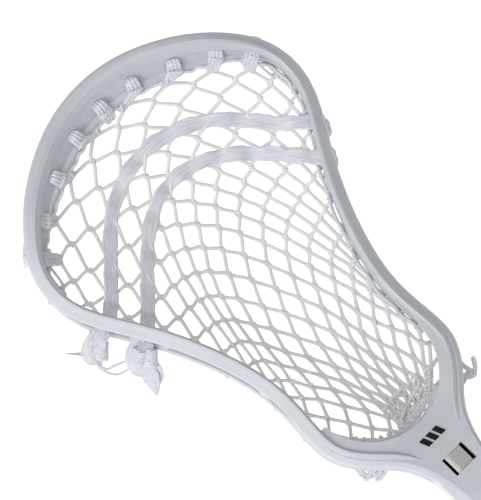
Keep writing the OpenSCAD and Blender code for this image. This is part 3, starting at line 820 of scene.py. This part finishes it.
# ties from it to the row-1 knots
for c in np.arange(0.5, 9.51, 1.0):
    kn = net_point(1.0, c, 0.2)
    near = min(line, key=lambda q: np.linalg.norm(q - kn))
    side_v = unit(np.cross(near - kn, (0, 0, 1)))
    reach = [kn - unit(near - kn) * 1.3, kn + side_v * 1.4, near + side_v * 1.3, near + unit(near - kn) * 1.5, near - side_v * 1.3, kn - side_v * 1.4]
    top.sweep(smooth_path(reach, 4, closed=True), round_section(1.7, 1.7, 7), closed=True)
top.build("scoop_lacing", TWINE, "top_string", "string_nylon")

low = Soup()
arc = []
for k in range(0, 61):
    a = math.radians(124 + 112 * k / 60)
    arc.append((STOP_X + (STOP_R - 1.5) * math.cos(a), (STOP_R - 1.5) * math.sin(a), -17 - 3.5 * (abs(math.degrees(a) - 180) / 56) ** 2))
low.cord(arc, STRING, 8)
for k in range(15):
    a = math.radians(126 + 7.7 * k)
    r0 = STOP_R - 1.8
    z = -17 - 3.5 * (abs(math.degrees(a) - 180) / 56) ** 2
    e = np.array([math.cos(a), math.sin(a), 0])
    tan = np.array([-math.sin(a), math.cos(a), 0])
    c = np.array([STOP_X, 0, z]) + e * r0
    th = np.arange(14) * 2 * math.pi / 14
    low.sweep([c + e * 2.0 * math.cos(q) + np.array([0, 0, 2.0]) * math.sin(q) + tan * 1.0 * math.sin(q + 1) for q in th],
              round_section(1.5, 1.5, 6), closed=True)
low.build("throat_lacing", PAINTED_LIGHT_FIBRE, "bottom_string", "string_nylon")

# ---------------------------------------------------------------- shooting laces
LACE_W, LACE_T = 8.5, 1.5
UPPER = [(149, 95, 4), (151, 90, 4.5), (153, 84.5, 5.5), (156, 77.5, 4.5), (160.5, 70.5, 1), (168, 63, 0), (182.5, 49.5, 0), (197, 35, 0),
         (205, 18, 0), (209, -0.5, 0), (206, -19, 0), (199, -37, 0), (186, -53, 0), (171, -66, 0), (163, -73, 1),
         (157, -78.5, 4.5), (151, -82.5, 9), (146, -85, 13)]
LOWER = [(124, 82, 2.5), (127, 78.5, 3.5), (131, 73.5, 5.5), (136, 67.5, 4.5), (142.5, 60.5, 1), (151, 53, 0), (164.5, 39.5, 0),
         (177, 27, 0), (185, 13.5, 0), (188.5, -0.5, 0), (186.5, -15.5, 0), (181, -31, 0), (170, -45, 0), (156.5, -58.5, 0),
         (146, -64.5, 1), (139, -69, 4.5), (134, -73.5, 9), (130, -77, 13)]


def lace_section(w, h):
    """Flat lace: full edges, and a shallow dip along the middle."""
    xs = np.array([-1, -0.93, -0.78, -0.55, -0.3, 0, 0.28, 0.55, 0.78, 0.93, 1])
    zs = np.array([0, 0.75, 1.05, 0.7, 1.0, 0.62, 0.98, 0.72, 1.1, 0.72, 0])
    top_side = [(x, z) for x, z in zip(xs[::-1], zs[::-1])]
    low_side = [(x, -z) for x, z in zip(xs[1:-1], zs[1:-1])]
    return np.array([(x * w / 2, z * h / 2) for x, z in top_side + low_side])


flat_r, flat_c = np.meshgrid(rr, cc, indexing="ij")


def column_of(x, y):
    d = (dense[..., 0] - x) ** 2 + (dense[..., 1] - y) ** 2
    k = int(d.argmin())
    return float(flat_r.ravel()[k]), float(flat_c.ravel()[k])


def lace_path(route):
    p = np.array(route, float)
    out, ups = [], []
    for k in range((len(p) - 3) * 10 + 1):
        q = bspline(p, k / 10)
        x, y, painted_lift = q
        inner = max(0.0, 1 - painted_lift / 1.5)
        z = pocket_z(x, y) + 1.2 + painted_lift
        if inner > 0:
            r, c = column_of(x, y)
            w = math.cos(2 * math.pi * (c - 0.25))
            w = max(-1.0, min(1.0, 1.5 * (w + 0.45)))
            z += inner * (-1.9 + 1.75 * w)
            n = pocket_normal(x, y)
        else:
            n = np.array([0, 0, 1.0])
        out.append((x, y, z))
        ups.append(n * inner + np.array([0, 0, 1.0]) * (1 - inner))
    out, ups = np.array(out), np.array(ups)
    for _ in range(5):
        out[1:-1, 2] = (out[:-2, 2] + 2 * out[1:-1, 2] + out[2:, 2]) / 4
        ups[1:-1] = (ups[:-2] + 2 * ups[1:-1] + ups[2:]) / 4
    return out, ups


def lace(name, node, route, seed):
    s = Soup()
    p, u = lace_path(route)
    k = np.arange(len(p))
    wild = np.random.default_rng(seed)
    breadth = 1 + 0.05 * np.sin(k * 0.61) + 0.035 * np.sin(k * 1.7 + 1)
    sec = lace_section(LACE_W, LACE_T)[None] * np.stack([breadth, 1 + 0.12 * np.sin(k * 0.83 + 2)], 1)[:, None]
    fray = 0.16 * wild.standard_normal((len(p), sec.shape[1], 2))
    fray[1:-1] = (fray[:-2] + fray[1:-1] + fray[2:]) / 2.2
    s.sweep(p, sec + fray, up=u, twist=0.17 * np.sin(k * 0.29 + seed) + 0.08 * np.sin(k * 0.8), flat_uv=True)
    return s.build(name, WEBBING, node, "lace_fabric")


lace("shooting_lace_band_upper", "shooting_lace_upper", UPPER, 3)
lace("shooting_lace_band_lower", "shooting_lace_lower", LOWER, 5)


def ribbon(s, pts, widths, per=6, twist=None, thick=1.4, up=None):
    p = smooth_path(pts, per)
    w = np.interp(np.linspace(0, 1, len(p)), np.linspace(0, 1, len(widths)), widths)
    sec = lace_section(1, 1)[None] * np.stack([w, np.full(len(p), thick) * np.clip(w / 3, 0.35, 1)], 1)[:, None]
    tw = None if twist is None else np.interp(np.linspace(0, 1, len(p)), np.linspace(0, 1, len(twist)), twist)
    s.sweep(p, sec, twist=tw, flat_uv=True, up=up)


def knot(s, centre, axis, r=3.4, width=4.4, turns=1.6, start=0.0, squeeze=0.8):
    """Lace wound round itself about an axis."""
    c, axis = np.array(centre, float), unit(np.array(axis, float))
    a = unit(np.cross(axis, (0, 0, 1)))
    b = np.cross(axis, a)
    pts, ups = [], []
    n = int(24 * turns)
    for k in range(n + 1):
        q = start + 2 * math.pi * turns * k / n
        rad = r * (1 + 0.16 * k / n)
        e = a * math.cos(q) + b * math.sin(q) * squeeze
        pts.append(c + e * rad + axis * (1.6 * math.sin(q * 0.5 + 0.4) + 2.0 * (k / n - 0.5)))
        ups.append(unit(e))
    p = np.array(pts)
    k = np.linspace(0, 1, len(p))
    w = width * (0.75 + 0.3 * np.sin(math.pi * k))
    sec = lace_section(1, 1)[None] * np.stack([w, np.full(len(p), 1.5)], 1)[:, None]
    s.sweep(p, sec, up=np.array(ups), flat_uv=True)


def stopper(s, pts, width, thick, seed):
    """The lace's end knotted against the outside of the rail: an uneven, lengthwise lump."""
    wild = np.random.default_rng(seed)
    p = smooth_path(pts, 6)
    k = np.linspace(0, 1, len(p))
    fat = np.sqrt(np.clip(1 - (2 * k - 1)**4, 0.03, 1)) * (1 + 0.10 * np.sin(k * 17 + seed))
    sec = round_section(width, thick, 10)[None] * fat[:, None, None] + 0.12 * wild.standard_normal((len(p), 10, 2))
    s.sweep(p, sec, up=(0, 0, 1), flat_uv=True)


DOWN = (-0.70, 0.70, -0.12)
s = Soup()
# strap over the rail, its fold, the wrap beside it and the loose end
ribbon(s, [(157.5, 81.5, -17), (154.2, 87, -19.2), (152.0, 91, -21), (150.0, 94, -22.6), (147.6, 95.6, -23.6)], [7.5, 8.6, 8.0, 7.4, 3.5], twist=[0, 0.15, 0.1, -0.2, -0.3], up=(0, 0, 1), thick=1.7)
ribbon(s, [(157.5, 86.5, -19), (156.0, 92.0, -20.5), (153.4, 96.2, -22.2), (149.5, 97.4, -23.6), (145.6, 96.6, -24.2)], [4.5, 6.5, 7.0, 6.0, 2.0], twist=[0, 0.2, 0.4, 0.2, 0], up=(0, 0, 1), thick=1.6)
knot(s, (147.9, 89.4, -21), DOWN, 2.5, 9.6, 1.7, 0.4, 0.85)
ribbon(s, [(153.4, 91.5, -21.4), (153.6, 95.6, -22.8), (155.4, 98.8, -23.4), (158.0, 101.3, -23.7), (161.2, 104.2, -24)], [5.5, 4.6, 2.8, 1.8, 0.7], twist=[0, 0.3, 0.5, 0.6, 0.5], up=(0, 0, 1), thick=1.3)
ribbon(s, [(152.0, 90.6, -20.6), (148.6, 93.0, -22.6), (145.0, 94.9, -24), (141.8, 96.8, -24.5)], [6.5, 6.4, 4.2, 1.2], twist=[0, -0.2, -0.4, -0.5], up=(0, 0, 1), thick=1.5)
s.cord(smooth_path([(144.4, 96.2, -24), (139.7, 94.2, -25), (137.9, 89.2, -25.5), (136.0, 85.0, -25), (133.2, 80.9, -23.6)], 7), 1.5, 8)
s.cord(smooth_path([(144.1, 96.9, -24.5), (138.2, 95.3, -25.5), (134.0, 92.6, -26), (132.0, 88.2, -25.5), (130.6, 82.8, -24)], 7), 1.5, 8)
stopper(s, [(153.4, -81.2, -6.6), (150.2, -82.0, -6.8), (146.4, -80.4, -7.2), (142.6, -77.6, -8)], 4.6, 3.6, 1)
s.build("lace_tie_upper", WEBBING, "lace_knot_upper", "lace_fabric")

s = Soup()
ribbon(s, [(141.0, 68.5, -16.5), (137.2, 73.0, -18.8), (133.6, 77.0, -20.8), (130.0, 80.0, -22.2), (126.4, 81.6, -23.4)], [7.5, 9.0, 9.4, 8.6, 4.5], twist=[0, 0.15, 0.2, 0, -0.2], up=(0, 0, 1), thick=1.8)
ribbon(s, [(139.0, 73.0, -19), (136.4, 78.4, -20.6), (132.4, 82.4, -22), (127.4, 83.4, -23.2), (123.4, 82.2, -24)], [4.5, 7.0, 7.8, 7.0, 3.0], twist=[0, 0.2, 0.4, 0.3, 0], up=(0, 0, 1), thick=1.7)
knot(s, (127.4, 73.6, -20.8), DOWN, 3.2, 9.8, 1.7, 0.2, 0.85)
knot(s, (131.4, 77.8, -20.6), (-0.55, 0.80, -0.2), 3.5, 9.0, 1.4, 2.2, 0.8)
ribbon(s, [(129.0, 75.8, -20.8), (124.2, 78.8, -22.5), (119.2, 80.8, -24), (114.4, 82.8, -25), (110.4, 85.2, -25.5)], [8.0, 9.4, 9.8, 6.2, 1.0], twist=[0, 0.15, 0.3, 0.3, 0.5], up=(0, 0, 1), thick=1.6)
ribbon(s, [(126.4, 75.0, -21.5), (121.2, 75.2, -23), (116.8, 76.2, -24.4), (114.0, 79.6, -25.3)], [6.0, 6.0, 4.4, 1.4], twist=[0, 0.4, 0.7, 0.9], up=(0, 0, 1), thick=1.5)
stopper(s, [(140.2, -74.2, -8.4), (136.2, -73.4, -8.8), (131.8, -71.0, -9.2), (127.6, -67.8, -10)], 4.4, 3.4, 2)
s.build("lace_tie_lower", WEBBING, "lace_knot_lower", "lace_fabric")

# ---------------------------------------------------------------- studio
floor_z = cad_box[0].z - 0.0006
me = bpy.data.meshes.new("studio_floor")
me.from_pydata([(-3, -4, floor_z), (5, -4, floor_z), (5, 4, floor_z), (-3, 4, floor_z)], [], [(0, 1, 2, 3)])
me.update()
floor = bpy.data.objects.new("studio_floor", me)
scene.collection.objects.link(floor)
fm = Mat("studio_white", (0.9, 0.9, 0.9), 0.9)
fm.b.inputs["Emission Color"].default_value = (1, 1, 1, 1)
fm.b.inputs["Emission Strength"].default_value = 0.55
fm.b.inputs["Specular IOR Level"].default_value = 0.0
me.materials.append(fm.m)

world = bpy.data.worlds.new("studio")
world.use_nodes = True
wt = world.node_tree
bg = wt.nodes["Background"]
bg.inputs[0].default_value = (0.93, 0.95, 1.0, 1)
# the room is bright on one side of the stick and dim on the other
where = wt.nodes.new("ShaderNodeTexCoord")
lean = wt.nodes.new("ShaderNodeVectorMath")
lean.operation = "DOT_PRODUCT"
lean.inputs[1].default_value = (-0.27, 0.74, 0.61)
level = wt.nodes.new("ShaderNodeMapRange")
for k, x in ((1, -0.75), (2, 0.85), (3, 0.06), (4, 0.66)):
    level.inputs[k].default_value = x
wt.links.new(where.outputs["Generated"], lean.inputs[0])
wt.links.new(lean.outputs["Value"], level.inputs[0])
wt.links.new(level.outputs[0], bg.inputs[1])
scene.world = world


def area(name, loc, target, size, energy, colour=(1, 1, 1)):
    d = bpy.data.lights.new(name, "AREA")
    d.shape = "RECTANGLE"
    d.size, d.size_y = size
    d.energy = energy
    d.color = colour
    o = bpy.data.objects.new(name, d)
    o.location = loc
    o.rotation_mode = "QUATERNION"
    o.rotation_quaternion = (Vector(target) - Vector(loc)).to_track_quat("-Z", "Y")
    scene.collection.objects.link(o)


area("key", (0.65, 1.5, 1.0), (0.88, 0, 0), (1.4, 0.9), 14)
area("top", (0.85, 0.25, 1.9), (0.85, 0, 0), (1.6, 1.6), 12.5)
